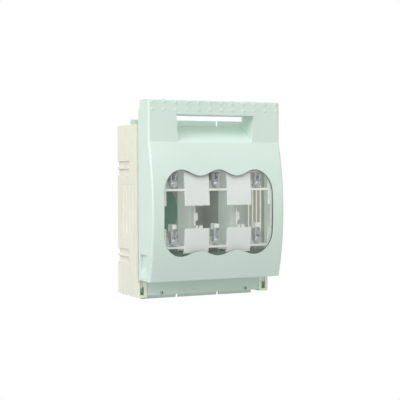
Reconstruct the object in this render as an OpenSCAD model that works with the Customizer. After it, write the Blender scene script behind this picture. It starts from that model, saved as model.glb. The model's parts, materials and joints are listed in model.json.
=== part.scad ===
// Three-pole fused disconnect switch for mounting on a panel.
// An open-ended base holds a pair of contact jaws in each pole. A swing-out cover with
// a handle, a lobed window and a fuse carrier closes its front, and two sliding
// shrouds screen the terminals.
// X points right, Y to the rear and Z up. The origin is the centre of the rear
// mounting face, so each depth below is a distance in front of that face.

/* [Poles] */
// Distance between the centres of neighbouring poles
pole_pitch = 58; // [55:1:60]
// Distance between the centres of an upper and a lower jaw
fuse_length = 100; // [96:1:102]
// Height of the middle between the jaws
fuse_z = -3; // [-5:0.5:0]

/* [Base] */
// Width of the base
base_w = 184; // [180:1:196]
// Height of the base
base_h = 215; // [212:1:230]
// Depth of the base
base_d = 66; // [64:1:72]
// Thickness of the side walls
side_wall = 3.2; // [2.8:0.1:4]
// Thickness of the rear wall
floor_t = 5; // [4:0.5:7]
// Thickness of the partitions between the poles
partition_t = 2; // [1.6:0.1:2.6]
// Height of the daylight slots in the side walls
slot_h = 64.5; // [40:0.5:70]
// Width of the daylight slots
slot_w = 3.5; // [2.5:0.1:5]

/* [Panel fixing] */
// Height of the fixing holes above and below the middle
fixing_z = 66; // [64:0.5:67]
// Diameter of the fixing holes
fixing_d = 7; // [5.5:0.1:7.5]
// Diameter of the wells for the heads of the fixing screws
fixing_well_d = 12.4; // [11:0.1:13]

/* [Contacts] */
// Width of the contact straps
strap_w = 25; // [22:1:26]
// Thickness of the contact straps
strap_t = 4; // [3:0.5:5]
// Distance from the mounting face to the straps
strap_y = 26; // [24:0.5:28]
// Free width between the cheeks of a jaw
jaw_gap = 5.6; // [5:0.1:6.2]
// Thickness of a jaw cheek
cheek_t = 2; // [1.6:0.1:2.4]
// Length of a jaw
jaw_len = 24; // [20:1:26]
// Distance of the tip of a jaw behind the front of the base
jaw_setback = 0; // [0:0.5:6]
// Thread diameter of the terminal bolts
bolt_d = 10; // [8:1:10]
// Width across the flats of the terminal bolts
bolt_flats = 17; // [15:1:18]

/* [Cover] */
// Distance from the mounting face to the front of the handle
handle_reach = 100; // [98:0.5:106]
// Depth of the crown of the belly in front of the handle
belly_rise = 12.2; // [10:0.1:16]
// Height of the curved belly
belly_h = 170.5; // [166:0.5:174]
// Height of the handle above the base
handle_rise = 29; // [26:0.5:34]
// Wall thickness of the cover
cover_wall = 2.5; // [2:0.1:3]
// Radius of the long front edges of the cover
edge_r = 2.6; // [2.2:0.1:4]
// Width of the hand opening at its top
opening_w = 107; // [98:1:112]
// Height of the hand opening at the rear of the cover
opening_h = 13.3; // [12:0.1:15]
// Slope of the ramp below the hand opening
ramp_angle = 29; // [24:1:34]
// Radius where the ramp turns into the belly
shoulder_r = 12; // [8:1:16]
// Number of grip bumps in a row on the handle
bump_count = 12; // [8:1:14]

/* [Window] */
// Width of the window
window_w = 150; // [144:1:152]
// Distance between the crests of neighbouring lobes
lobe_pitch = 50.5; // [48:0.5:52]
// Height of the upper crests
lobe_top = 51.2; // [48:0.2:52]
// Depth of the dips between the upper lobes
lobe_top_dip = 7.7; // [4:0.1:9]
// Depth of the lower crests below the middle
lobe_low = 55.2; // [53:0.2:57]
// Depth of the dips between the lower lobes
lobe_low_dip = 6.3; // [4:0.1:9]

/* [Hidden] */
$fn = 48;
arc_fn = 360;
eps = 0.01;
line = 1;
load = -1;
poles = [-1, 0, 1];
pole_lines = [-pole_pitch / 2, pole_pitch / 2];

// Clearances
slide_gap = 0.3;
pin_gap = 0.05;
bolt_gap = 0.25;
hinge_gap = 0.7;

// Height of a screw head in diameters of its thread
screw_head = 0.65;

// Base
base_half = base_w / 2;
base_top = base_h / 2;
base_inner = base_half - side_wall;
rear_core = 2.5;
rear_core_w = pole_pitch - 30;
rear_core_rows = 5;
rear_core_pitch = (base_h - 5) / rear_core_rows;
rear_core_half = rear_core_pitch / 2 - 4;
slot_low = -31.5;
slot_depths = [for (i = [0:3]) base_d - 13.7 - i * 10.9];
flute_depth = 0.4;
recess_reach = 38.4;
recess_depth = 2.2;
recess_pad = 2;
recesses = [[44, 52], [54, 62], [-66.5, -59], [-57, -49.5]];
fixing_floor = 10;
fixing_tube_wall = 1.8;
fixing_tube_reach = 40;

// Shrouds
shroud_t = 2.2;
shroud_edge_z = belly_h / 2 - 11.25;
shroud_end_z = base_top - 2;
shroud_front = base_d - 0.2;
shroud_rear = shroud_front - shroud_t;
shroud_half_top = base_half - 6;
shroud_half_low = base_half - 13.5;
shroud_wide_half = base_half - 0.7;
flange_z = base_top - 11.5;
flange_t = 2;
lip_t = 1.8;
lip_room = 2.2;
lip_low_end = base_top + 4.5;
lip_top_end = base_top + 6.5;
lip_wide_z = base_top + 0.5;
slit_w = partition_t + 0.8;
partition_reach = shroud_rear - slide_gap;
shroud_cheek_t = 1.8;
shroud_cheek_off = 6;
shroud_rib_t = 1.6;
shroud_rib_depth = 6;
shroud_hole_x = pole_pitch + 1;
shroud_hole_d = 3.2;
shroud_hole_edge = 2.6;

// Contacts, given for one end and mirrored about the middle of the fuse
jaw_reach = base_d - jaw_setback;
jaw_in = fuse_length / 2 - jaw_len / 2;
jaw_out = fuse_length / 2 + jaw_len / 2;
strap_front = strap_y + strap_t;
strap_in = jaw_in - 1;
strap_end_z = base_top - 3.5;
neck_w = 14;
terminal_z = base_top - 15.5;
contact_screw_off = jaw_out + 11;
contact_screw_d = 5;
pedestal_w = 28;
clip_w = 10;
clip_t = 1.2;
clip_knee = 6;
clip_tip = 8.5;
clip_press = 12;
clip_press_len = 4;
clip_flare = 1.4;
washer_t = 2;
washer_d = 20;
spring_washer_d = 18;
bolt_head_h = 6.4;
nut_h = 8;
bolt_tail = 4;
under_head = strap_front + 2 * washer_t;
lip_front = under_head + bolt_head_h + lip_room + lip_t;
partition_corner_reach = lip_front - lip_t - 1;
partition_corner = 7;

// Arc chutes
chute_w = 25;
chute_cheek = 2;
chute_in = jaw_out + 5;
chute_depth = 13;
chute_back = 1.5;
chute_reach = partition_reach - 0.8;
arc_plate_t = 1.2;
arc_plate_count = 6;
arc_plate_gap = 0.2;
arc_plate_inset = 0.6;
arc_plate_deepest = strap_front + screw_head * contact_screw_d + 1;
arc_plate_pitch = (chute_reach - arc_plate_inset - arc_plate_t - arc_plate_deepest)
    / (arc_plate_count - 1);

// Hinge
pivot_y = -(base_d - 6);
pivot_z = -(base_top - 8);
pin_d = 5;
hinge_block_w = 13;
hinge_block_depth = 16;
arm_out = base_half - 4.5;
arm_t = 2.4;
arm_gap = 0.4;
eye_w = 3.8;
eye_r = 4.2;
arm_front = base_d - arm_gap;
arm_top = belly_h / 2 - 7.25;
arm_foot_reach = base_d + 14;

// Cover
cover_gap = 1.8;
cover_rear = base_d + cover_gap;
cover_half = base_half - 1.5;
cover_inner = cover_half - cover_wall;
belly_half = belly_h / 2;
crease_lap = 5;
belly_reach = handle_reach + belly_rise;
belly_r = (pow(belly_half, 2) + pow(belly_rise, 2)) / (2 * belly_rise);
belly_axis_y = belly_r - belly_reach;
handle_top = base_top + handle_rise;
handle_rear = cover_rear + 5.2;
handle_notch_top = handle_top - 7.5;
handle_notch_low = handle_top - 15.5;
bar_h = 18.1;
opening_top = handle_top - bar_h;
opening_low_w = opening_w - 5;
passage_flare = (opening_w - opening_low_w) / 2 / (opening_top - belly_half);
block_wall_z = handle_top - 34.5;
block_wall_t = 2.2;
rib_t = 1.6;
bump_pitch = 2 * (base_half - 6.75) / (bump_count - 1);
bump_half = 2.4;
bump_h = 0.55;
bump_r = (pow(bump_half, 2) + pow(bump_h, 2)) / (2 * bump_h);
bump_rows = [handle_top - 3.3, handle_top - 12];
tongue_t = 1.6;
tongue_out = base_inner - 0.6;
tongue_reach = base_d - 4;
tongue_low = -(belly_half - 13.25);
tongue_top = base_top - 3.5;
tongue_windows = [
    [tongue_top - 8, tongue_top - 5],
    [tongue_top - 54, tongue_top - 47],
    [tongue_low + 6, tongue_low + 20]
];
pocket_depth = 3.4;
pocket_low = -(belly_half - 4.25);
pocket_run = 12;
pocket_top = pocket_low + 28;
pocket_pad = 2.6;

// Ramp below the hand opening, as points in the Y-Z plane
ramp_dir = [-cos(ramp_angle), -sin(ramp_angle)];
ramp_in = [sin(ramp_angle), -cos(ramp_angle)];
ramp_end = [-(cover_rear - 1.4), opening_top - opening_h + 0.8];
belly_centre = [belly_axis_y, 0];
ramp_offset = ramp_end + shoulder_r * ramp_in - belly_centre;
ramp_along = ramp_offset * ramp_dir;
ramp_len = -ramp_along + sqrt(pow(ramp_along, 2) - ramp_offset * ramp_offset
    + pow(belly_r - shoulder_r, 2));
shoulder_centre = ramp_end + ramp_len * ramp_dir + shoulder_r * ramp_in;

// Window and fuse carrier, as depths below the outer face of the belly
glass_front = 0.6;
glass_flange_front = cover_wall + 0.2;
glass_flange_t = 1.5;
glass_flange_w = 4;
glass_gap = 0.35;
carrier_front = glass_flange_front + glass_flange_t + 0.2;
carrier_t = 2.5;
carrier_back = carrier_front + carrier_t;
lobe_side_top = lobe_top - 30.2;
lobe_side_low = lobe_low - 28.2;
carrier_half = cover_inner - 3;
carrier_top = 60;
carrier_low = -64;
carrier_wall_top = 48;
carrier_wall_low = -52;
carrier_wall_t = 2;
carrier_side_reach = base_d + 6;
carrier_end_reach = base_d + 14;
carrier_partition_reach = base_d - 15;
carrier_partition_gap = 3;
partition_step = carrier_partition_reach - 1.5;
column_w = 24.6;
bar_t = 2.7;
upper_bar = fuse_z + 28;
lower_bar = fuse_z - 42.5;
band_low = fuse_z - 18;
band_top = fuse_z + 10;
band_half = window_w / 2 - 1;
shelf_reach = handle_reach - 16;
carrier_screw_x = carrier_half - 5;
carrier_screw_zs = [carrier_top - 5, carrier_low + 5];
carrier_boss_r = 4.5;
carrier_screw_d = 3.5;
carrier_screw_grip = 1.6;
carrier_screw_head_d = 6.4;
carrier_screw_head_h = 2.4;
carrier_seat_t = carrier_t + 1;
partition_band_reach = belly_reach - carrier_front - 8;
partition_tab_w = 3;
partition_tab_t = 2;
partition_tab_z = [fuse_z - 9, fuse_z + 1];
band_tab_off = 5.2;
band_tab_half = 2.2;
band_tab_h = 3.5;

// Grips, each with a ring round its screw and two prongs above it
grip_t = 1.2;
grip_depth = 8;
grip_front = handle_reach + 2.5;
grip_rear = grip_front - grip_depth;
grip_h = 19.5;
grip_stem = 4.4;
grip_ring_x = 0.4;
grip_ring_z = 5;
grip_ring_r = 2.8;
grip_mouth = 4.6;
grip_neck_z = 12;
grip_boss_h = 10;
grip_boss_w = 10;
grip_boss_depth = 7;
grip_screw_d = 3.5;
grip_screw_len = 5.5;
hook_w = 6;
hook_t = 4;
hook_z = [lower_bar + 24, lower_bar + 29.5];

function span(a, b) = [min(a, b), max(a, b)];
function arc_y(inset, z) = belly_axis_y - sqrt(pow(belly_r - inset, 2) - z * z);

// Half of the window outline above or below the middle, from one side to the other.
function lobed_edge(grow, crest, dip, side) = concat(
    [for (a = [0:9:90])
        [lobe_pitch + (window_w / 2 - lobe_pitch + grow) * cos(a),
         side + (crest - side + grow) * sin(a)]],
    [for (x = [lobe_pitch - lobe_pitch / 12 : -lobe_pitch / 12 : -lobe_pitch + 1])
        [x, crest - dip + grow + dip * pow(cos(180 * x / lobe_pitch), 2)]],
    [for (a = [90:9:180])
        [-lobe_pitch + (window_w / 2 - lobe_pitch + grow) * cos(a),
         side + (crest - side + grow) * sin(a)]]
);
function reversed(points) = [for (i = [len(points) - 1 : -1 : 0]) points[i]];
function flipped(points) = [for (p = points) [p[0], -p[1]]];

// A box from its three ranges.
module block(x, y, z) {
    translate([x[0], y[0], z[0]])
        cube([x[1] - x[0], y[1] - y[0], z[1] - z[0]]);
}

// Extrudes a Y-Z outline over a range of X.
module along_x(x) {
    translate([x[0], 0, 0])
        rotate([90, 0, 90])
            linear_extrude(x[1] - x[0])
                children();
}

// Extrudes an X-Z outline over a range of Y.
module along_y(y) {
    translate([0, y[1], 0])
        rotate([90, 0, 0])
            linear_extrude(y[1] - y[0])
                children();
}

// A round bar or bore along X.
module rod_x(x, y, z, d) {
    translate([x[0], y, z])
        rotate([0, 90, 0])
            cylinder(d = d, h = x[1] - x[0]);
}

// A round bar or bore along Y.
module rod_y(x, y, z, d) {
    translate([x, y[1], z])
        rotate([90, 0, 0])
            cylinder(d = d, h = y[1] - y[0]);
}

// A hexagonal bar or pocket along Y.
module hex_y(x, y, z, flats) {
    translate([x, y[1], z])
        rotate([90, 0, 0])
            cylinder(d = flats / cos(30), h = y[1] - y[0], $fn = 6);
}

module both_sides() {
    children();
    mirror([1, 0, 0])
        children();
}

// Range of heights between two distances from the middle of the fuse at one end.
function end_span(end, near, far) = span(fuse_z + end * near, fuse_z + end * far);

// ---- Base ----

module base_partition(x) {
    open_top = carrier_wall_top + carrier_partition_gap;
    open_low = carrier_wall_low - carrier_partition_gap;
    along_x([x - partition_t / 2, x + partition_t / 2])
        polygon([
            [-floor_t / 2, -base_top],
            [-partition_corner_reach, -base_top],
            [-partition_corner_reach, -base_top + partition_corner],
            [-partition_reach, -base_top + partition_corner],
            [-partition_reach, open_low],
            [-partition_step, open_low],
            [-partition_step, open_top],
            [-partition_reach, open_top],
            [-partition_reach, base_top - partition_corner],
            [-partition_corner_reach, base_top - partition_corner],
            [-partition_corner_reach, base_top],
            [-floor_t / 2, base_top]
        ]);
}

// The two raised supports of one contact strap, open between them for the spring clip.
module contact_pedestal(pole, end) {
    x = [pole * pole_pitch - pedestal_w / 2, pole * pole_pitch + pedestal_w / 2];
    y = [-strap_y, -floor_t / 2];
    clip_in = fuse_length / 2 - clip_w / 2 - 1;
    clip_out = fuse_length / 2 + clip_w / 2 + 1;
    block(x, y, end_span(end, strap_in, clip_in));
    block(x, y, span(fuse_z + end * clip_out, end * strap_end_z));
}

module pedestal_holes(pole, end) {
    x = pole * pole_pitch;
    nut_y = [-strap_y - eps, -strap_y + nut_h + slide_gap];
    hex_y(x, nut_y, end * terminal_z, bolt_flats + 2 * bolt_gap);
    rod_y(x, [-strap_y, -floor_t - 1], end * terminal_z, bolt_d + 2);
    rod_y(x, [-strap_y - eps, -strap_y + 12], fuse_z + end * contact_screw_off,
        contact_screw_d + 2 * pin_gap);
}

module fixing_tube(x, z) {
    rod_y(x, [-fixing_tube_reach, 0], z, fixing_well_d + 2 * fixing_tube_wall);
}

module fixing_hole(x, z) {
    rod_y(x, [-fixing_floor - eps, 1], z, fixing_d);
    rod_y(x, [-base_d - 1, -fixing_floor], z, fixing_well_d);
}

// Corner block with a slot for the hinge arm and a wider recess for its eye.
module hinge_block() {
    y = [-base_d - 1, -base_d + hinge_block_depth - 2];
    difference() {
        block([base_half - hinge_block_w, base_half], [-base_d, -base_d + hinge_block_depth],
            [-base_top, -shroud_edge_z]);
        block([arm_out - arm_t - arm_gap, arm_out + arm_gap], y, [pivot_z, -shroud_edge_z - 2]);
        block([arm_out - eye_w - hinge_gap, arm_out + hinge_gap], y,
            [pivot_z - eye_r - hinge_gap, pivot_z + eye_r + hinge_gap]);
    }
}

module side_wall_cuts() {
    for (depth = slot_depths) {
        block([base_inner - 1, base_half + 1], [-depth - slot_w / 2, -depth + slot_w / 2],
            [slot_low, slot_low + slot_h]);
        block([base_half - flute_depth, base_half + 1],
            [-depth - slot_w / 2, -depth + slot_w / 2], [-base_top - 1, base_top + 1]);
    }
    for (z = recesses)
        block([base_half - recess_depth, base_half + 1], [-recess_reach, 1], z);
}

module recess_pads() {
    for (z = [[recesses[0][0] - 2, recesses[1][1] + 2], [recesses[2][0] - 2, recesses[3][1] + 2]])
        block([base_inner - recess_pad, base_inner + eps], [-recess_reach - 2, -floor_t / 2], z);
}

// Shallow pockets that keep the rear wall even in thickness.
module rear_cores() {
    for (pole = poles)
        for (row = [0:rear_core_rows - 1]) {
            z = (row - (rear_core_rows - 1) / 2) * rear_core_pitch;
            block([pole * pole_pitch - rear_core_w / 2, pole * pole_pitch + rear_core_w / 2],
                [-rear_core, 1], [z - rear_core_half, z + rear_core_half]);
        }
}

module base_housing() {
    color("#e9e8da")
        difference() {
            union() {
                block([-base_half, base_half], [-floor_t, 0], [-base_top, base_top]);
                both_sides() {
                    block([base_inner, base_half], [-base_d, 0], [-base_top, base_top]);
                    hinge_block();
                    recess_pads();
                }
                for (x = pole_lines)
                    base_partition(x);
                for (pole = poles)
                    for (end = [line, load])
                        contact_pedestal(pole, end);
                for (x = pole_lines)
                    for (z = [-fixing_z, fixing_z])
                        fixing_tube(x, z);
            }
            both_sides() {
                side_wall_cuts();
                rod_x([base_half - hinge_block_w - 1, base_half - 1], pivot_y, pivot_z,
                    pin_d + 2 * pin_gap);
            }
            for (pole = poles)
                for (end = [line, load])
                    pedestal_holes(pole, end);
            for (x = pole_lines)
                for (z = [-fixing_z, fixing_z])
                    fixing_hole(x, z);
            rear_cores();
        }
}

// ---- Terminal shrouds ----

// Slits let a shroud slide along the partitions.
module shroud_slits(z) {
    for (x = pole_lines)
        block([x - slit_w / 2, x + slit_w / 2], [-shroud_rear, -lip_front + lip_t + 1], z);
}

module shroud_cheeks(half, z) {
    both_sides()
        block([half - shroud_cheek_t, half], [-shroud_rear - eps, -lip_front], z);
}

// Stiffening rib behind the front plate of a shroud, over the middle of a pole.
module shroud_rib(pole, z) {
    x = pole * pole_pitch;
    block([x - shroud_rib_t / 2, x + shroud_rib_t / 2],
        [-shroud_rear - eps, -shroud_rear + shroud_rib_depth], z);
}

module shroud_holes(z) {
    both_sides()
        rod_y(shroud_hole_x, [-shroud_front - 1, -shroud_rear + 1], z, shroud_hole_d);
}

module top_terminal_shroud() {
    half = shroud_half_top;
    lip_y = [-lip_front, -lip_front + lip_t];
    rib_low = fuse_z + chute_in + chute_depth + 1;
    color("#cfe3d8")
        difference() {
            union() {
                block([-half, half], [-shroud_front, -shroud_rear], [shroud_edge_z, shroud_end_z]);
                block([-half, half], [-shroud_rear - eps, -lip_front + eps],
                    [flange_z, flange_z + flange_t]);
                block([-half, half], lip_y, [flange_z, lip_wide_z + eps]);
                block([-shroud_wide_half, shroud_wide_half], lip_y, [lip_wide_z, lip_top_end]);
                shroud_cheeks(half, [shroud_edge_z + shroud_cheek_off, flange_z + eps]);
                for (pole = poles)
                    shroud_rib(pole, [rib_low, flange_z + eps]);
            }
            shroud_slits([flange_z - 1, lip_top_end + 1]);
            shroud_holes(shroud_end_z - shroud_hole_edge);
        }
}

module bottom_terminal_shroud() {
    half = shroud_half_low;
    lip_y = [-lip_front, -lip_front + lip_t];
    color("#cfe3d8")
        difference() {
            union() {
                block([-half, half], [-shroud_front, -shroud_rear],
                    [-shroud_end_z, -shroud_edge_z]);
                block([-half, half], [-shroud_rear - eps, -lip_front + eps],
                    [-flange_z - flange_t, -flange_z]);
                block([-half, half], lip_y, [-lip_low_end, -flange_z]);
                shroud_cheeks(half, [-flange_z - eps, -shroud_edge_z - shroud_cheek_off]);
                for (pole = poles)
                    shroud_rib(pole, [-flange_z - eps, -shroud_edge_z - 2]);
            }
            shroud_slits([-lip_low_end - 1, -flange_z + 1]);
            shroud_holes(-shroud_end_z + shroud_hole_edge);
        }
}

// ---- Contacts ----

// One bent cheek of a jaw in plan, with its flared lead-in at the front.
module jaw_cheek(pole, end) {
    near = jaw_gap / 2;
    far = near + cheek_t;
    bend = jaw_reach - 8;
    z = end_span(end, jaw_in, jaw_out);
    translate([pole * pole_pitch, 0, z[0]])
        both_sides()
            linear_extrude(z[1] - z[0])
                polygon([
                    [near, -strap_front + 1],
                    [near, -bend],
                    [near + 2.6, -jaw_reach],
                    [far + 2.2, -jaw_reach],
                    [far, -bend + 0.8],
                    [far, -strap_front + 1]
                ]);
}

// Copper strap with its jaw at one end and its terminal pad at the other.
module contact(pole, end) {
    x = pole * pole_pitch;
    strap_yy = [-strap_front, -strap_y];
    color("#c8c6c0")
        difference() {
            union() {
                block([x - neck_w / 2, x + neck_w / 2], strap_yy,
                    end_span(end, strap_in, jaw_out + 3));
                block([x - strap_w / 2, x + strap_w / 2], strap_yy,
                    span(fuse_z + end * (jaw_out + 2), end * strap_end_z));
                jaw_cheek(pole, end);
            }
            rod_y(x, [-strap_front - 1, -strap_y + 1], end * terminal_z, bolt_d + 2 * bolt_gap);
            rod_y(x, [-strap_front - 1, -strap_y + 1], fuse_z + end * contact_screw_off,
                contact_screw_d + 2 * bolt_gap);
        }
}

// U-shaped steel clip that passes below the strap and presses on both cheeks.
module jaw_spring(pole, end) {
    z = end_span(end, fuse_length / 2 - clip_w / 2, fuse_length / 2 + clip_w / 2);
    cheek = jaw_gap / 2 + cheek_t + 0.1;
    leg = neck_w / 2 + slide_gap;
    knee = -strap_front - clip_knee;
    press = -jaw_reach + clip_press;
    tip = -jaw_reach + clip_tip;
    right = [
        [leg, -strap_y],
        [leg, knee],
        [cheek, press + clip_press_len],
        [cheek, press],
        [leg - clip_flare + slide_gap, tip],
        [leg + slide_gap, tip],
        [cheek + clip_t, press + slide_gap],
        [cheek + clip_t, press + clip_press_len],
        [leg + clip_t, knee - slide_gap],
        [leg + clip_t, -strap_y + clip_t]
    ];
    left = [for (p = reversed(right)) [-p[0], p[1]]];
    color("#9a9ca0")
        translate([pole * pole_pitch, 0, z[0]])
            linear_extrude(z[1] - z[0])
                polygon(concat(right, left));
}

// ---- Arc chutes above the upper jaws ----

module arc_chute(pole) {
    x = pole * pole_pitch;
    z = end_span(line, chute_in, chute_in + chute_depth);
    y = [-chute_reach, -strap_front - slide_gap];
    color("#8c7f6a")
        translate([x, 0, 0])
            union() {
                both_sides()
                    block([chute_w / 2 - chute_cheek, chute_w / 2], y, z);
                block([-chute_w / 2, chute_w / 2], y, [z[1] - chute_back, z[1]]);
            }
}

// Stack of steel plates, each with a V notch that faces the jaw.
module arc_plates(pole) {
    z = end_span(line, chute_in, chute_in + chute_depth);
    half = chute_w / 2 - chute_cheek - arc_plate_gap;
    low = z[0] + arc_plate_gap;
    top = z[1] - chute_back - arc_plate_gap;
    color("#a3a5a6")
        for (i = [0:arc_plate_count - 1])
            translate([pole * pole_pitch, -chute_reach + arc_plate_inset + i * arc_plate_pitch, 0])
                along_y([0, arc_plate_t])
                    polygon([
                        [-half, top],
                        [half, top],
                        [half, low],
                        [half / 2, low],
                        [0, (low + top) / 2],
                        [-half / 2, low],
                        [-half, low]
                    ]);
}

// ---- Terminal hardware, one set for each end ----

module terminal_bolts(end) {
    color("#b9bbbd")
        for (pole = poles) {
            hex_y(pole * pole_pitch, [-under_head - bolt_head_h, -under_head],
                end * terminal_z, bolt_flats);
            rod_y(pole * pole_pitch, [-under_head - eps, -strap_y + nut_h + bolt_tail],
                end * terminal_z, bolt_d);
        }
}

module terminal_ring(end, depth, thickness, outer, inner) {
    for (pole = poles)
        difference() {
            rod_y(pole * pole_pitch, [-depth - thickness, -depth], end * terminal_z, outer);
            rod_y(pole * pole_pitch, [-depth - thickness - 1, -depth + 1], end * terminal_z, inner);
        }
}

module terminal_washers(end) {
    color("#c4c6c8")
        terminal_ring(end, strap_front, washer_t, washer_d, bolt_d + 2 * bolt_gap);
}

// Split spring washers, each with its gap.
module spring_washers(end) {
    depth = strap_front + washer_t;
    color("#8f9194")
        difference() {
            terminal_ring(end, depth, washer_t, spring_washer_d, bolt_d + 2 * bolt_gap);
            for (pole = poles)
                translate([pole * pole_pitch, -depth, end * terminal_z])
                    rotate([0, 20, 0])
                        block([bolt_d / 4, spring_washer_d], [-washer_t - 1, 1], [-0.7, 0.7]);
        }
}

module terminal_nuts(end) {
    color("#a9abad")
        for (pole = poles)
            difference() {
                hex_y(pole * pole_pitch, [-strap_y, -strap_y + nut_h], end * terminal_z,
                    bolt_flats);
                rod_y(pole * pole_pitch, [-strap_y - 1, -strap_y + nut_h + 1],
                    end * terminal_z, bolt_d + 2 * pin_gap);
            }
}

module contact_screws(end) {
    color("#b9bbbd")
        for (pole = poles)
            slotted_screw(pole * pole_pitch, -strap_front, fuse_z + end * contact_screw_off,
                contact_screw_d, strap_t + 11);
}

// Pan-head screw along Y with its head in front of the seat.
module slotted_screw(x, seat, z, d, length) {
    head_h = screw_head * d;
    difference() {
        union() {
            rod_y(x, [seat - head_h, seat], z, 1.8 * d);
            rod_y(x, [seat - eps, seat + length], z, d);
        }
        block([x - d, x + d], [seat - head_h - 1, seat - head_h + 0.45 * head_h],
            [z - 0.12 * d, z + 0.12 * d]);
    }
}

// ---- Hinge ----

module hinge_pin(side) {
    color("#b4b6b8")
        mirror([side < 0 ? 1 : 0, 0, 0])
            rod_x([base_half - hinge_block_w + slide_gap, base_half - 1.2],
                pivot_y, pivot_z, pin_d);
}

// Arm from its foot on the bottom wall of the cover down to the eye on the hinge pin.
module hinge_arm(side) {
    foot_z = -belly_half + cover_wall;
    color("#e9e8da")
        mirror([side < 0 ? 1 : 0, 0, 0])
            difference() {
                union() {
                    rod_x([arm_out - eye_w, arm_out], pivot_y, pivot_z, 2 * eye_r);
                    along_x([arm_out - arm_t, arm_out])
                        polygon([
                            [pivot_y + eye_r, pivot_z],
                            [pivot_y + eye_r, pivot_z + 2 * eye_r],
                            [pivot_y - 1, -arm_top],
                            [-arm_foot_reach, -arm_top],
                            [-arm_foot_reach, foot_z],
                            [-arm_front, foot_z],
                            [-arm_front, pivot_z + eye_r + 1],
                            [pivot_y - eye_r, pivot_z + eye_r - 1],
                            [pivot_y - eye_r, pivot_z]
                        ]);
                    block([arm_out - eps, cover_inner], [-arm_foot_reach, -cover_rear - 1],
                        [foot_z, -arm_top]);
                }
                rod_x([arm_out - eye_w - 1, arm_out + 1], pivot_y, pivot_z,
                    pin_d + 2 * pin_gap);
            }
}

// ---- Cover ----

// Keeps what lies behind the belly face sunk by the given amount.
module behind_belly(inset) {
    intersection() {
        children();
        translate([-base_w, belly_axis_y, 0])
            rotate([0, 90, 0])
                cylinder(r = belly_r - inset, h = 2 * base_w, $fn = arc_fn);
    }
}

// Flat rectangle whose two far corners are rounded.
module round_front(half, near, far, r) {
    translate([near, -half])
        square([far - r - near, 2 * half]);
    translate([far - r - eps, -half + r])
        square([r + eps, 2 * (half - r)]);
    for (side = [-1, 1])
        translate([far - r, side * (half - r)])
            circle(r = r);
}

// The curved belly as a slice of a barrel about a level axis behind the switch.
module belly_solid(inset, rear, low) {
    intersection() {
        translate([0, belly_axis_y, 0])
            rotate([0, 90, 0])
                rotate_extrude($fn = arc_fn)
                    round_front(cover_half - inset, belly_r - belly_reach, belly_r - inset,
                        edge_r - inset / 2);
        block([-base_w, base_w], [-belly_reach - 1, -rear], [low, belly_half + crease_lap]);
    }
}

// The straight head of the cover with the handle.
module handle_solid(inset, rear) {
    low = belly_half - 10;
    intersection() {
        translate([0, 0, low])
            rotate([0, 0, -90])
                linear_extrude(handle_top - inset - low)
                    round_front(cover_half - inset, rear, handle_reach - inset,
                        edge_r - inset / 2);
        along_x([-base_w, base_w])
            polygon([
                [-rear, low],
                [-rear, handle_notch_low],
                [-rear - (handle_rear - cover_rear), handle_notch_top],
                [-rear - (handle_rear - cover_rear), handle_top - inset],
                [-handle_reach + inset + 1.2, handle_top - inset],
                [-handle_reach + inset, handle_top - inset - 1.2],
                [-handle_reach + inset, low]
            ]);
    }
}

// Space above the ramp and below the handle bar. A positive grow adds a wall around it.
module hand_passage(grow) {
    from_axis = shoulder_centre - belly_centre;
    on_belly = belly_centre + from_axis / norm(from_axis) * (belly_r - grow);
    ramp_start = shoulder_centre - (shoulder_r - grow) * ramp_in;
    ramp_rear = ramp_end + grow * ramp_in - 12 * ramp_dir;
    top = opening_top + grow;
    front = -belly_reach - 5;
    foot_z = belly_half - 30;
    foot_half = opening_w / 2 + grow - passage_flare * (opening_top - foot_z);
    top_half = opening_w / 2 + grow;
    intersection() {
        along_y([front, ramp_rear[0]])
            polygon([
                [-foot_half, foot_z],
                [foot_half, foot_z],
                [top_half, top],
                [-top_half, top]
            ]);
        along_x([-base_w, base_w])
            difference() {
                polygon([
                    [front, on_belly[1]],
                    on_belly,
                    shoulder_centre,
                    ramp_start,
                    ramp_rear,
                    [ramp_rear[0], top],
                    [front, top]
                ]);
                translate(shoulder_centre)
                    circle(r = shoulder_r - grow, $fn = 96);
            }
    }
}

module window_outline(grow) {
    polygon(concat(
        lobed_edge(grow, lobe_top, lobe_top_dip, lobe_side_top),
        flipped(reversed(lobed_edge(grow, lobe_low, lobe_low_dip, lobe_side_low)))
    ));
}

module handle_ribs() {
    bar_y = [-handle_reach + 1, -cover_rear];
    block_rib = (opening_w / 2 + cover_half) / 2;
    both_sides() {
        block([opening_low_w / 2, cover_inner + 1], bar_y,
            [block_wall_z, block_wall_z + block_wall_t]);
        block([block_rib - rib_t / 2, block_rib + rib_t / 2], bar_y,
            [block_wall_z, handle_top - 1]);
    }
    for (i = [-1, 0, 1])
        block([i * opening_w / 4 - rib_t / 2, i * opening_w / 4 + rib_t / 2], bar_y,
            [opening_top + 1, handle_top - 1]);
}

module grip_bumps() {
    for (z = bump_rows)
        for (i = [0:bump_count - 1])
            intersection() {
                translate([(i - (bump_count - 1) / 2) * bump_pitch,
                    -handle_reach - bump_h + bump_r, z])
                    sphere(r = bump_r);
                block([-base_w, base_w], [-handle_reach - 2, -handle_reach + 0.5], [z - 5, z + 5]);
            }
}

// Inner tongue that laps behind the side wall of the base.
module cover_tongue() {
    difference() {
        block([tongue_out - tongue_t, tongue_out], [-cover_rear - 6, -tongue_reach],
            [tongue_low, tongue_top]);
        for (z = tongue_windows)
            block([tongue_out - tongue_t - 1, tongue_out + 1], [-cover_rear, -tongue_reach + 1], z);
    }
    block([tongue_out - tongue_t, cover_inner + eps], [-cover_rear - 6, -cover_rear - 3],
        [tongue_low, tongue_top]);
}

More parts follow.
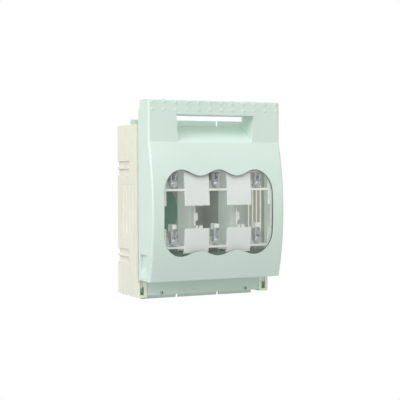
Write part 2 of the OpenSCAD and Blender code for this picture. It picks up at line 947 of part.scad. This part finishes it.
module side_pocket() {
    along_y([-handle_reach + 7, -cover_rear - 5.3])
        polygon([
            [cover_half + 1, pocket_low],
            [cover_half, pocket_low],
            [cover_half - pocket_depth, pocket_low + pocket_run],
            [cover_half - pocket_depth, pocket_top],
            [cover_half + 1, pocket_top]
        ]);
}

module carrier_bosses() {
    for (z = carrier_screw_zs)
        rod_y(carrier_screw_x, [arc_y(1, z), carrier_seat(z)], z, 2 * carrier_boss_r);
}

function carrier_seat(z) = arc_y(carrier_front, abs(z) + carrier_boss_r);

module cover_shell() {
    color("#d5e6dc")
        difference() {
            union() {
                difference() {
                    union() {
                        belly_solid(0, cover_rear, -belly_half);
                        handle_solid(0, cover_rear);
                    }
                    belly_solid(cover_wall, cover_rear - 5, -belly_half + cover_wall);
                    handle_solid(cover_wall, cover_rear - 5);
                }
                intersection() {
                    union() {
                        belly_solid(0, cover_rear, -belly_half);
                        handle_solid(0, cover_rear);
                    }
                    union() {
                        hand_passage(cover_wall);
                        handle_ribs();
                    }
                }
                grip_bumps();
                both_sides() {
                    cover_tongue();
                    carrier_bosses();
                    block([cover_inner - pocket_pad, cover_inner + eps],
                        [-handle_reach + 3, -cover_rear - 1], [-arm_top + 1, pocket_top + 3]);
                }
            }
            hand_passage(0);
            along_y([-belly_reach - 1, -handle_reach + 8])
                window_outline(0);
            both_sides() {
                side_pocket();
                for (z = carrier_screw_zs)
                    rod_y(carrier_screw_x, [arc_y(cover_wall - 0.4, z), carrier_seat(z) + 1], z,
                        carrier_screw_d + 2 * pin_gap);
            }
        }
}

// A layer that follows the belly between two depths, cut to an X-Z outline.
module belly_layer(front, back) {
    difference() {
        behind_belly(front)
            along_y([-belly_reach, -handle_reach + back + 6])
                children();
        translate([-base_w, belly_axis_y, 0])
            rotate([0, 90, 0])
                cylinder(r = belly_r - back, h = 2 * base_w, $fn = arc_fn);
    }
}

module window() {
    color([0.85, 0.93, 0.90, 0.35]) {
        belly_layer(glass_front, glass_flange_front + eps)
            window_outline(-glass_gap);
        belly_layer(glass_flange_front, glass_flange_front + glass_flange_t)
            window_outline(glass_flange_w);
    }
}

// ---- Fuse carrier behind the window ----

module carrier_walls() {
    front = -belly_reach;
    z = [carrier_wall_low - carrier_wall_t, carrier_wall_top + carrier_wall_t];
    for (x = pole_lines) {
        block([x - partition_t / 2, x + partition_t / 2], [front, -carrier_partition_reach],
            [carrier_wall_low, carrier_wall_top]);
        block([x, x + partition_t / 2 + partition_tab_w],
            [-partition_band_reach - 1, -partition_band_reach + partition_tab_t],
            partition_tab_z);
    }
    both_sides()
        block([carrier_half - 1.6, carrier_half], [front, -carrier_side_reach], z);
    for (end_z = [z[0], carrier_wall_top])
        block([-carrier_half, carrier_half], [front, -carrier_end_reach],
            [end_z, end_z + carrier_wall_t]);
    for (pole = poles)
        for (bar = [upper_bar, lower_bar]) {
            block([pole * pole_pitch - column_w / 2 - 1, pole * pole_pitch + column_w / 2 + 1],
                [front, -shelf_reach], [bar, bar + bar_t]);
            block([pole * pole_pitch - grip_boss_w / 2, pole * pole_pitch + grip_boss_w / 2],
                [-grip_rear, -grip_rear + grip_boss_depth],
                [bar + bar_t - eps, bar + bar_t + grip_boss_h]);
        }
    for (pole = poles)
        carrier_hook([pole * pole_pitch - hook_w / 2, pole * pole_pitch + hook_w / 2]);
}

// Post behind a lower grip that turns forward above it.
module carrier_hook(x) {
    block(x, [-grip_rear, -grip_rear + hook_t], [lower_bar + bar_t, hook_z[1]]);
    block(x, [-grip_front, -grip_rear + hook_t], hook_z);
}

// Openings in the front plate: a column over each pole and a band across all of them.
module carrier_windows() {
    for (pole = poles)
        for (z = [[carrier_wall_low, lower_bar], [lower_bar + bar_t, upper_bar],
                [upper_bar + bar_t, carrier_wall_top]])
            block([pole * pole_pitch - column_w / 2, pole * pole_pitch + column_w / 2],
                [-belly_reach, -handle_reach + 1], z);
    difference() {
        block([-band_half, band_half], [-belly_reach, -handle_reach - 1], [band_low, band_top]);
        for (x = pole_lines)
            block([x + band_tab_off - band_tab_half, x + band_tab_off + band_tab_half],
                [-belly_reach - 1, -handle_reach], [band_low - 1, band_low + band_tab_h]);
    }
}

module fuse_carrier() {
    color("#dfe4df")
        difference() {
            union() {
                difference() {
                    belly_layer(carrier_front, carrier_back)
                        translate([-carrier_half, carrier_low])
                            square([2 * carrier_half, carrier_top - carrier_low]);
                    carrier_windows();
                }
                behind_belly(carrier_front)
                    carrier_walls();
                both_sides()
                    for (z = carrier_screw_zs)
                        rod_y(carrier_screw_x, [carrier_seat(z), carrier_seat(z) + carrier_seat_t],
                            z, 2 * carrier_boss_r + 1);
            }
            for (x = pole_lines)
                block([x - partition_t, x + partition_t + partition_tab_w],
                    [-belly_reach, -partition_band_reach], [band_low + band_tab_h, band_top]);
            both_sides()
                for (z = carrier_screw_zs) {
                    rod_y(carrier_screw_x, [-belly_reach, carrier_seat(z)], z,
                        2 * carrier_boss_r + 0.6);
                    rod_y(carrier_screw_x, [-belly_reach, -handle_reach + 10], z,
                        carrier_screw_d + 2 * bolt_gap);
                }
            for (pole = poles)
                for (bar = [upper_bar, lower_bar])
                    rod_y(pole * pole_pitch + grip_ring_x,
                        [-grip_rear - 1, -grip_rear + grip_screw_len + 0.5],
                        bar + bar_t + grip_ring_z, grip_screw_d + 2 * pin_gap);
        }
}

// Spring strip that grips the lug of a fuse: a ring, a straight stem and a flared prong.
module grip(pole, bar) {
    outer = grip_ring_r + grip_t;
    neck = -grip_stem + grip_t + grip_mouth;
    color("#a7aaad")
        translate([pole * pole_pitch, 0, bar + bar_t])
            along_y([-grip_front, -grip_rear]) {
                translate([grip_ring_x, grip_ring_z])
                    difference() {
                        circle(r = outer);
                        circle(r = grip_ring_r);
                    }
                translate([-grip_stem, grip_ring_z - 1])
                    square([grip_t, grip_h - grip_ring_z + 1]);
                polygon([
                    [neck + 1.5, grip_neck_z - 5],
                    [neck + 2.7, grip_neck_z - 4.6],
                    [neck + grip_t, grip_neck_z + 0.2],
                    [neck + 3.2, grip_h - 0.9],
                    [neck + 2.1, grip_h - 0.5],
                    [neck, grip_neck_z + 0.2]
                ]);
            }
}

module grip_screws() {
    color("#b9bbbd")
        for (pole = poles)
            for (bar = [upper_bar, lower_bar])
                slotted_screw(pole * pole_pitch + grip_ring_x, -grip_front,
                    bar + bar_t + grip_ring_z, grip_screw_d, grip_depth + grip_screw_len);
}

// Screws that hold the carrier to the cover, driven from behind.
module carrier_screws() {
    color("#b9bbbd")
        both_sides()
            for (z = carrier_screw_zs) {
                seat = carrier_seat(z) + carrier_seat_t;
                rod_y(carrier_screw_x, [seat, seat + carrier_screw_head_h], z,
                    carrier_screw_head_d);
                rod_y(carrier_screw_x, [carrier_seat(z) - carrier_screw_grip, seat + eps], z,
                    carrier_screw_d);
            }
}

base_housing();
top_terminal_shroud();
bottom_terminal_shroud();
contact(-1, line);  // line_contact_l1
contact(0, line);  // line_contact_l2
contact(1, line);  // line_contact_l3
contact(-1, load);  // load_contact_l1
contact(0, load);  // load_contact_l2
contact(1, load);  // load_contact_l3
jaw_spring(-1, line);  // line_jaw_spring_l1
jaw_spring(0, line);  // line_jaw_spring_l2
jaw_spring(1, line);  // line_jaw_spring_l3
jaw_spring(-1, load);  // load_jaw_spring_l1
jaw_spring(0, load);  // load_jaw_spring_l2
jaw_spring(1, load);  // load_jaw_spring_l3
arc_chute(-1);  // arc_chute_l1
arc_chute(0);  // arc_chute_l2
arc_chute(1);  // arc_chute_l3
arc_plates(-1);  // arc_plates_l1
arc_plates(0);  // arc_plates_l2
arc_plates(1);  // arc_plates_l3
terminal_bolts(line);  // line_terminal_bolts
terminal_bolts(load);  // load_terminal_bolts
terminal_washers(line);  // line_terminal_washers
terminal_washers(load);  // load_terminal_washers
spring_washers(line);  // line_spring_washers
spring_washers(load);  // load_spring_washers
terminal_nuts(line);  // line_terminal_nuts
terminal_nuts(load);  // load_terminal_nuts
contact_screws(line);  // line_contact_screws
contact_screws(load);  // load_contact_screws
hinge_pin(-1);  // hinge_pin_left
hinge_pin(1);  // hinge_pin_right
hinge_arm(-1);  // hinge_arm_left
hinge_arm(1);  // hinge_arm_right
cover_shell();
window();
fuse_carrier();
grip(-1, upper_bar);  // upper_grip_l1
grip(0, upper_bar);  // upper_grip_l2
grip(1, upper_bar);  // upper_grip_l3
grip(-1, lower_bar);  // lower_grip_l1
grip(0, lower_bar);  // lower_grip_l2
grip(1, lower_bar);  // lower_grip_l3
grip_screws();
carrier_screws();
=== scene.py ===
import json
import math

import bpy
from mathutils import Matrix, Vector

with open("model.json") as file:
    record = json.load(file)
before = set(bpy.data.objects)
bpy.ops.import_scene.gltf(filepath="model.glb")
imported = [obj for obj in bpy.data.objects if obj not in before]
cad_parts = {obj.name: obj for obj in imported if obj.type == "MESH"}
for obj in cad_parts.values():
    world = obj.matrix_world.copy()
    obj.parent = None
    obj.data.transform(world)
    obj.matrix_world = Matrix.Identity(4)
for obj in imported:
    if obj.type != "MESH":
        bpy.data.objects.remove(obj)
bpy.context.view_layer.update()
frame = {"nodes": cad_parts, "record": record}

NODES = frame["nodes"]

# The camera of the photograph, in the part's frame; angles in degrees
CAMERA_YAW = 25.4        # to the left of straight ahead
CAMERA_PITCH = 1.66      # above level
CAMERA_ROLL = -0.19
CAMERA_DISTANCE = 1.315
CAMERA_TARGET = Vector((-0.0058, -0.066, 0.0125))
CAMERA_LENS = 93.2       # mm
CAMERA_SENSOR = 36.0     # mm
CAMERA_CLIP = 0.05

# Area lights: name, place, size and power in watts
LIGHTS_AIM = Vector((0.0, -0.05, 0.0))
LIGHTS = (
    ("key_overhead", (-0.5, -1.1, 1.7), (1.3, 1.3), 12.0),
    ("key_front", (-0.6, -1.75, 1.25), (1.3, 1.3), 9.3),
    ("left_fill", (-1.9, -0.5, 1.0), (1.2, 1.4), 22.0),
)

# World light, between two heights of its direction
WORLD_ABOVE = 0.68       # strength of the light from above
WORLD_BELOW = 0.42       # and from below
WORLD_HIGH = 0.9
WORLD_LOW = -0.7

FLOOR_HALF = 1.5
FLOOR_LEVEL = -0.90
FLOOR_TONES = ((0.65, 0.65, 0.65), (0.67, 0.67, 0.67))

# Painted light: emission strengths that make the mouldings glow, in place of daylight coming
# through or back from them
PAINTED_GLOW_CARRIER = 0.22      # through the thin walls of the carrier
PAINTED_GLOW_BASE = 0.15         # through the right wall of the base
PAINTED_GLOW_SLOTS = 0.35        # in the slots of the side walls
PAINTED_GLOW_HINGE = 0.16        # in the slots of the hinge blocks
PAINTED_GLOW_CORNER = 0.10       # from the cover onto the front of those blocks
PAINTED_GLOW_HAND = 0.12         # from the hand opening onto the ramp below it

MINT = (0.655, 0.790, 0.715)
SHROUD_PAINTED_LIGHT = 1.08    # painted light: the shrouds' mint is the cover's mint made lighter
IVORY = (0.785, 0.785, 0.670)
CARRIER = (0.740, 0.790, 0.745)
# Painted shade: the inside of the base goes to a greyer, greener ivory, in place of its shade
# and the green light from the cover
PAINTED_INNER_SHADE = (0.730, 0.765, 0.710)
PAINTED_INNER_SHARE = 0.85       # how far the painted shade takes the inside of the base to that tone
# Painted light: green light from the cover painted on the fronts of the hinge blocks
CORNER_PAINTED_BOUNCE = (0.760, 0.835, 0.680)
# Painted shade: dark green rounded area on the left partition
PAINTED_SHADE_GREEN = (0.180, 0.510, 0.350)
# Painted shade: dark green on the lower end of the carrier
PAINTED_SHADE_FOOT_GREEN = (0.100, 0.185, 0.120)
# Painted shade: dark green on the lower end of the base
PAINTED_SHADE_WELL_GREEN = (0.360, 0.430, 0.370)
# Painted shade: dark green in and around the shrouds' holes
PAINTED_SHADE_HOLE_GREEN = (0.120, 0.200, 0.140)
# Painted shade: green in the slots of the hinge blocks, lightened there by painted glow
PAINTED_SHADE_HINGE_GREEN = (0.330, 0.470, 0.350)
# Painted shade: dark green around the eyes of the hinge arms
PAINTED_SHADE_EYE_GREEN = (0.300, 0.380, 0.280)
CHUTE = (0.20, 0.16, 0.11)

# Places in the part's frame in metres. A box is its centre and half its size, a pair is
# the distance of two places from the middle plane X = 0 and half their width.
BASE_INSIDE = (0.0, -0.03475, 0.0), (0.0890, 0.03075, 0.1050)
LEFT_PARTITION = (-0.0300, -0.03475, 0.0), (0.0004, 0.03075, 0.080)
DARK_CENTRE = (0.0, -0.0206, -0.003)     # of the rounded painted shade on that partition
DARK_RADIUS = 0.0280
DARK_SOFT = 0.0012
WELL_FOOT, WELL_TOP = -0.060, -0.045     # Z where the painted shade on the base's lower end is full, and where it has faded out
WALL_NEAR, WALL_FAR = 0.060, 0.085       # X where the painted glow of the right wall begins and is full
HINGE_PAIR = 0.0848, 0.0060
HINGE_SLOTS = (0.0, -0.0590, -0.0965), (0.10, 0.0065, 0.0105)
CORNER_PAIR = 0.0853, 0.0064
CORNER_FRONTS = (0.0, -0.0658, -0.0985), (0.10, 0.0006, 0.0095)
SLOT_PAIR = 0.0904, 0.0014
WALL_SLOTS = (0.0, -0.0360, 0.00075), (0.10, 0.0210, 0.0318)
CARRIER_FOOT = (0.0, -0.0850, -0.0610), (0.10, 0.0300, 0.0095)
CARRIER_FRONT, CARRIER_REAR = -0.098, -0.088   # Y where the carrier's painted glow begins and is full
CARRIER_GLOW_MINT = 0.6                        # share of mint in that glow
HAND_PASSAGE = (0.0, -0.0850, 0.1020), (0.0560, 0.0200, 0.0175)
HAND_FRONT, HAND_REAR = -0.095, -0.074         # Y where the ramp's painted glow begins and is full
HOLE_CENTRE = (0.059, 0.0, 0.1029)             # of the shrouds' holes, mirrored
HOLE_RADIUS = 0.0021
HOLE_SOFT = 0.0003
EYE_LOW, EYE_TOP = -0.0975, -0.0950            # Z where the painted shade on the hinge arms is full, and where it has faded out

# Finishes
PLASTIC_IOR = 1.5
GLASS_IOR = 1.49
COVER_ROUGHNESS = 0.40
IVORY_ROUGHNESS = 0.46
CARRIER_ROUGHNESS = 0.44
GRAIN_DEPTH = 0.00003
PLASTIC_EDGE = 0.0005    # radius that the light sees on an edge
HARD_EDGE = 0.0003


# ---- Materials ----

class Shader:
    """A Principled material with helpers for its node tree."""

    def __init__(self, name, **values):
        self.material = bpy.data.materials.new(name)
        self.material.use_nodes = True
        self.tree = self.material.node_tree
        self.principled = self.tree.nodes["Principled BSDF"]
        for socket, value in values.items():
            self.principled.inputs[socket].default_value = value
        self.coords = self.tree.nodes.new("ShaderNodeTexCoord").outputs["Object"]

    def node(self, kind, values=(), **settings):
        made = self.tree.nodes.new("ShaderNode" + kind)
        for key, value in settings.items():
            setattr(made, key, value)
        for socket, value in dict(values).items():
            if isinstance(value, bpy.types.NodeSocket):
                self.tree.links.new(value, made.inputs[socket])
            else:
                made.inputs[socket].default_value = value
        return made

    def link(self, output, socket):
        self.tree.links.new(output, self.principled.inputs[socket])

    def noise(self, scale, detail, rough=0.5, stretch=None):
        coords = self.coords
        if stretch is not None:
            coords = self.node("Mapping", {"Vector": coords, "Scale": stretch}).outputs["Vector"]
        made = self.node("TexNoise", {"Vector": coords, "Scale": scale, "Detail": detail,
                                      "Roughness": rough})
        return made.outputs["Fac"]

    def ramp(self, fac, low, high, start=0.35, end=0.65):
        made = self.node("MapRange", {"Value": fac, "From Min": start, "From Max": end,
                                      "To Min": low, "To Max": high})
        return made.outputs["Result"]

    def mix(self, fac, first, second):
        made = self.node("Mix", data_type="RGBA")
        for index, value in ((0, fac), (6, first), (7, second)):
            if isinstance(value, bpy.types.NodeSocket):
                self.tree.links.new(value, made.inputs[index])
            elif index:
                made.inputs[index].default_value = (*value[:3], 1.0)
            else:
                made.inputs[index].default_value = value
        return made.outputs[2]

    def maths(self, operation, *values):
        return self.node("Math", dict(enumerate(values)), operation=operation).outputs["Value"]

    def times(self, first, second):
        return self.maths("MULTIPLY", first, second)

    def outside(self, mask):
        return self.maths("SUBTRACT", 1.0, mask)

    def axis(self, name, vector=None):
        vector = self.coords if vector is None else vector
        return self.node("SeparateXYZ", {"Vector": vector}).outputs[name]

    def box(self, centre, half):
        """1 inside a box of the part's frame, 0 outside it."""
        inside = 1.0
        for name, middle, reach in zip("XYZ", centre, half):
            within = self.maths("COMPARE", self.axis(name), middle, reach)
            inside = self.times(within, inside)
        return inside

    def pair(self, places, box):
        """1 in the parts of a box that lie about one distance from the plane X = 0."""
        apart = self.maths("COMPARE", self.maths("ABSOLUTE", self.axis("X")), *places)
        return self.times(apart, self.box(*box))

    def disc(self, centre, radius, soft, plane=(0.0, 1.0, 1.0), mirror=False):
        """1 inside a circle in a plane of the frame, 0 outside it."""
        point = self.coords
        if mirror:
            point = self.node("VectorMath", {0: point}, operation="ABSOLUTE").outputs["Vector"]
        flat = self.node("Mapping", {"Vector": point, "Scale": plane}).outputs["Vector"]
        away = self.node("VectorMath", {0: flat, 1: centre}, operation="DISTANCE")
        return self.ramp(away.outputs["Value"], 1.0, 0.0, radius - soft, radius + soft)

    def soft_edges(self, radius):
        return self.node("Bevel", {"Radius": radius}, samples=6).outputs["Normal"]

    def bump(self, height, distance, normal=None, strength=1.0):
        values = {"Height": height, "Distance": distance, "Strength": strength}
        if normal is not None:
            values["Normal"] = normal
        return self.node("Bump", values).outputs["Normal"]


def shade(colour, factor):
    return tuple(min(1.0, c * factor) for c in colour)


def moulded_plastic(name, colour, roughness):
    """Satin moulding: spark-eroded grain, slow tone changes and rubbed patches."""
    s = Shader(name, Roughness=roughness, IOR=PLASTIC_IOR)
    slow = s.ramp(s.noise(9.0, 2.0), 0.0, 1.0)
    specks = s.ramp(s.noise(420.0, 2.0, 0.6), 0.0, 0.25, start=0.55, end=0.8)
    tone = s.mix(slow, shade(colour, 0.975), shade(colour, 1.02))
    s.tone = s.mix(specks, tone, shade(colour, 0.9))
    rubbed = s.ramp(s.noise(34.0, 4.0, 0.6), roughness - 0.06, roughness + 0.07)
    swell = s.bump(s.noise(26.0, 2.0), 0.00012, s.soft_edges(PLASTIC_EDGE), strength=0.35)
    grain = s.bump(s.noise(1500.0, 2.0, 0.55), GRAIN_DEPTH, swell)
    s.link(s.tone, "Base Color")
    s.link(rubbed, "Roughness")
    s.link(grain, "Normal")
    return s


def housing_painted_light_and_shade(name):
    """Ivory moulding with painted shade, greyer and green in its deep parts, and painted glow in
    place of daylight through its side walls.
    """
    s = moulded_plastic(name, IVORY, IVORY_ROUGHNESS)
    inside = s.box(*BASE_INSIDE)
    dark = s.times(s.box(*LEFT_PARTITION), s.disc(DARK_CENTRE, DARK_RADIUS, DARK_SOFT))
    well = s.times(inside, s.ramp(s.axis("Z"), 1.0, 0.0, WELL_FOOT, WELL_TOP))
    hinge = s.pair(HINGE_PAIR, HINGE_SLOTS)
    corner = s.pair(CORNER_PAIR, CORNER_FRONTS)
    slots = s.pair(SLOT_PAIR, WALL_SLOTS)

    # Painted shade and light: the inside goes greyer and green, then the dark disc, the green
    # lower end, the green bounce on the blocks' fronts and the green hinge slots
    tone = s.mix(s.times(inside, PAINTED_INNER_SHARE), s.tone, PAINTED_INNER_SHADE)
    for mask, colour in ((dark, PAINTED_SHADE_GREEN), (well, PAINTED_SHADE_WELL_GREEN), (corner, CORNER_PAINTED_BOUNCE),
                         (hinge, PAINTED_SHADE_HINGE_GREEN)):
        tone = s.mix(mask, tone, colour)
    s.link(tone, "Base Color")
    s.link(tone, "Emission Color")

    # Painted light: emission on the right wall, the wall slots, the hinge slots and the blocks'
    # fronts
    wall = s.times(inside, s.ramp(s.axis("X"), 0.0, PAINTED_GLOW_BASE, WALL_NEAR, WALL_FAR))
    glow = s.maths("ADD", s.times(wall, s.outside(well)), s.times(slots, PAINTED_GLOW_SLOTS))
    glow = s.maths("ADD", glow, s.times(hinge, PAINTED_GLOW_HINGE))
    glow = s.maths("MAXIMUM", glow, s.times(corner, PAINTED_GLOW_CORNER))
    s.link(glow, "Emission Strength")
    return s


def carrier_plastic(name):
    """Pale moulding behind the window, with painted glow away from its front in place of light
    through its thin walls, and painted shade on its lower end.
    """
    s = moulded_plastic(name, CARRIER, CARRIER_ROUGHNESS)
    foot = s.box(*CARRIER_FOOT)
    # painted light: emission that makes the carrier glow towards the rear
    lit = s.ramp(s.axis("Y"), 0.0, PAINTED_GLOW_CARRIER, CARRIER_FRONT, CARRIER_REAR)
    # painted shade: the carrier's lower end is dark green
    s.link(s.mix(foot, s.tone, PAINTED_SHADE_FOOT_GREEN), "Base Color")
    s.link(s.mix(CARRIER_GLOW_MINT, s.tone, MINT), "Emission Color")
    s.link(s.times(lit, s.outside(foot)), "Emission Strength")
    return s


def shroud_painted_light_and_shade(name):
    """Mint moulding with painted shade, dark green in and around its small holes; its mint is
    the cover's mint made lighter, as painted light.
    """
    s = moulded_plastic(name, shade(MINT, SHROUD_PAINTED_LIGHT), COVER_ROUGHNESS)
    holes = s.disc(HOLE_CENTRE, HOLE_RADIUS, HOLE_SOFT, plane=(1.0, 0.0, 1.0), mirror=True)
    s.link(s.mix(holes, s.tone, PAINTED_SHADE_HOLE_GREEN), "Base Color")
    return s


def hinge_plastic_painted_shade(name):
    """Ivory arm with painted shade, dark green, around the eye, in place of the shade of its
    slot.
    """
    s = moulded_plastic(name, IVORY, IVORY_ROUGHNESS)
    eye = s.ramp(s.axis("Z"), 1.0, 0.0, EYE_LOW, EYE_TOP)
    s.link(s.mix(eye, s.tone, PAINTED_SHADE_EYE_GREEN), "Base Color")
    return s


def cover_plastic_painted_glow(name):
    """Mint moulding with painted glow on the ramp below the hand opening, in place of daylight
    from behind.
    """
    s = moulded_plastic(name, MINT, COVER_ROUGHNESS)
    lit = s.ramp(s.axis("Y"), 0.0, PAINTED_GLOW_HAND, HAND_FRONT, HAND_REAR)
    s.link(s.tone, "Emission Color")
    s.link(s.times(s.box(*HAND_PASSAGE), lit), "Emission Strength")
    return s


def clear_plastic(name):
    """Clear pane: rubbed haze and gloss on its front skin, and grey where it is cut."""
    s = Shader(name, Roughness=0.06, IOR=GLASS_IOR)
    outward = s.axis("Y", s.node("TexCoord").outputs["Normal"])
    front = s.ramp(outward, 1.0, 0.0, start=-0.8, end=-0.6)
    cut = s.ramp(s.maths("ABSOLUTE", outward), 1.0, 0.0, start=0.45, end=0.75)
    haze = s.ramp(s.noise(55.0, 4.0, 0.7), 0.015, 0.035, start=0.4, end=0.8)
    facing = s.node("LayerWeight", {"Blend": 0.5}).outputs["Facing"]
    gloss = s.ramp(s.maths("POWER", facing, 5.0), 0.022, 1.0, start=0.0, end=1.0)
    pane = s.times(s.maths("ADD", haze, gloss), front)
    alpha = s.node("Mix", {0: cut, 2: pane, 3: 0.8}, data_type="FLOAT").outputs[0]
    s.link(alpha, "Alpha")
    s.link(s.mix(cut, (0.80, 0.86, 0.83), (0.08, 0.10, 0.09)), "Base Color")
    s.link(s.ramp(s.noise(60.0, 4.0, 0.7), 0.03, 0.10, start=0.4, end=0.8), "Roughness")
    s.link(s.bump(s.noise(18.0, 1.0), 0.00008, strength=0.25), "Normal")
    return s


def plated_metal(name, colour, tarnish, roughness, stretch=(1.0, 1.0, 1.0)):
    """Plated or rolled metal with fine marks along one direction and dull patches."""
    s = Shader(name, Metallic=1.0, Roughness=roughness)
    patches = s.noise(70.0, 4.0, 0.6)
    dull = s.ramp(patches, 0.0, 1.0, start=0.45, end=0.75)
    marks = s.noise(700.0, 4.0, 0.65, stretch)
    s.link(s.mix(dull, colour, tarnish), "Base Color")
    s.link(s.ramp(patches, roughness - 0.08, roughness + 0.15), "Roughness")
    s.link(s.bump(marks, 0.00001, s.soft_edges(HARD_EDGE), strength=0.8), "Normal")
    return s


def pressed_board(name, colour):
    """Fibre board of the arc chutes."""
    s = Shader(name, Roughness=0.75)
    fibres = s.noise(260.0, 5.0, 0.7)
    tone = s.mix(s.ramp(fibres, 0.0, 1.0), shade(colour, 0.75), shade(colour, 1.3))
    s.link(tone, "Base Color")
    s.link(s.bump(fibres, 0.00005, s.soft_edges(HARD_EDGE)), "Normal")
    return s


def slot_finishes():
    """The finish of each material slot of the record."""
    along_x, along_z = (0.05, 1.0, 1.0), (1.0, 1.0, 0.06)
    return {
        "mint_plastic": shroud_painted_light_and_shade("shroud_painted_light_and_shade"),
        "ivory_plastic": moulded_plastic("ivory_plastic", IVORY, IVORY_ROUGHNESS),
        "carrier_plastic": carrier_plastic("carrier_plastic"),
        "clear_window": clear_plastic("clear_window"),
        "silvered_copper": plated_metal("silvered_copper", (0.78, 0.75, 0.70),
                                        (0.55, 0.46, 0.36), 0.34, along_z),
        "spring_steel": plated_metal("spring_steel", (0.76, 0.78, 0.80),
                                     (0.56, 0.58, 0.60), 0.28, along_x),
        "zinc_steel": plated_metal("zinc_steel", (0.70, 0.72, 0.74),
                                   (0.55, 0.56, 0.52), 0.30),
        "arc_plate_steel": plated_metal("arc_plate_steel", (0.50, 0.51, 0.52),
                                        (0.36, 0.34, 0.33), 0.42, along_x),
        "chute_board": pressed_board("chute_board", CHUTE),
    }


def node_finishes():
    """The finish of each node that has one of its own."""
    arm = hinge_plastic_painted_shade("hinge_plastic_painted_shade")
    return {
        "base_housing": housing_painted_light_and_shade("housing_painted_light_and_shade"),
        "cover_shell": cover_plastic_painted_glow("cover_plastic_painted_glow"),
        "hinge_arm_left": arm,
        "hinge_arm_right": arm,
    }


def dress_frame():
    by_slot, by_node = slot_finishes(), node_finishes()
    for row in frame["record"]["subparts"]:
        finish = by_node.get(row["node"], by_slot[row["material_slot"]])
        for slot in NODES[row["node"]].material_slots:
            slot.material = finish.material


# ---- Setting ----

def add_object(name, data):
    made = bpy.data.objects.new(name, data)
    bpy.context.scene.collection.objects.link(made)
    return made


def add_camera():
    a, e = math.radians(-CAMERA_YAW), math.radians(CAMERA_PITCH)
    back = Vector((math.sin(a) * math.cos(e), -math.cos(a) * math.cos(e), math.sin(e)))
    camera = add_object("camera", bpy.data.cameras.new("camera"))
    camera.data.lens = CAMERA_LENS
    camera.data.sensor_width = CAMERA_SENSOR
    camera.data.clip_start = CAMERA_CLIP
    place = Matrix.Translation(CAMERA_TARGET + back * CAMERA_DISTANCE)
    turn = (-back).to_track_quat("-Z", "Y").to_matrix().to_4x4()
    roll = Matrix.Rotation(math.radians(CAMERA_ROLL), 4, "Z")
    camera.matrix_world = place @ turn @ roll
    bpy.context.scene.camera = camera


def add_lights():
    for name, place, size, power in LIGHTS:
        light = bpy.data.lights.new(name, "AREA")
        light.shape = "RECTANGLE"
        light.size, light.size_y = size
        light.energy = power
        holder = add_object(name, light)
        holder.location = place
        holder.rotation_mode = "QUATERNION"
        holder.rotation_quaternion = (LIGHTS_AIM - Vector(place)).to_track_quat("-Z", "Y")


def add_world():
    """Plain studio light, brighter from above, in front of a white backdrop."""
    world = bpy.data.worlds.new("studio")
    world.use_nodes = True
    tree = world.node_tree
    tree.nodes.clear()
    direction = tree.nodes.new("ShaderNodeTexCoord").outputs["Generated"]
    parts = tree.nodes.new("ShaderNodeSeparateXYZ")
    tree.links.new(direction, parts.inputs[0])
    glow = tree.nodes.new("ShaderNodeMapRange")
    tree.links.new(parts.outputs["Z"], glow.inputs["Value"])
    for socket, value in (("From Min", WORLD_LOW), ("From Max", WORLD_HIGH),
                          ("To Min", WORLD_BELOW), ("To Max", WORLD_ABOVE)):
        glow.inputs[socket].default_value = value
    soft = tree.nodes.new("ShaderNodeBackground")
    tree.links.new(glow.outputs["Result"], soft.inputs["Strength"])
    white = tree.nodes.new("ShaderNodeBackground")
    for node in (soft, white):
        node.inputs["Color"].default_value = (1.0, 1.0, 1.0, 1.0)
    seen = tree.nodes.new("ShaderNodeLightPath").outputs["Is Camera Ray"]
    either = tree.nodes.new("ShaderNodeMixShader")
    for index, output in enumerate((seen, soft.outputs[0], white.outputs[0])):
        tree.links.new(output, either.inputs[index])
    output = tree.nodes.new("ShaderNodeOutputWorld")
    tree.links.new(either.outputs[0], output.inputs["Surface"])
    bpy.context.scene.world = world


def add_floor():
    """Pale plain floor well below the part, which hangs on its panel fixings."""
    mesh = bpy.data.meshes.new("floor")
    corners = [(x * FLOOR_HALF, y * FLOOR_HALF, FLOOR_LEVEL)
               for x, y in ((-1, -1), (1, -1), (1, 1), (-1, 1))]
    mesh.from_pydata(corners, [], [(0, 1, 2, 3)])
    floor = add_object("floor", mesh)
    s = Shader("floor_paint", Roughness=0.9)
    s.link(s.mix(s.ramp(s.noise(3.0, 3.0), 0.0, 1.0), *FLOOR_TONES), "Base Color")
    mesh.materials.append(s.material)


bpy.context.scene.view_settings.view_transform = "Standard"
add_camera()
add_world()
add_lights()
add_floor()
dress_frame()
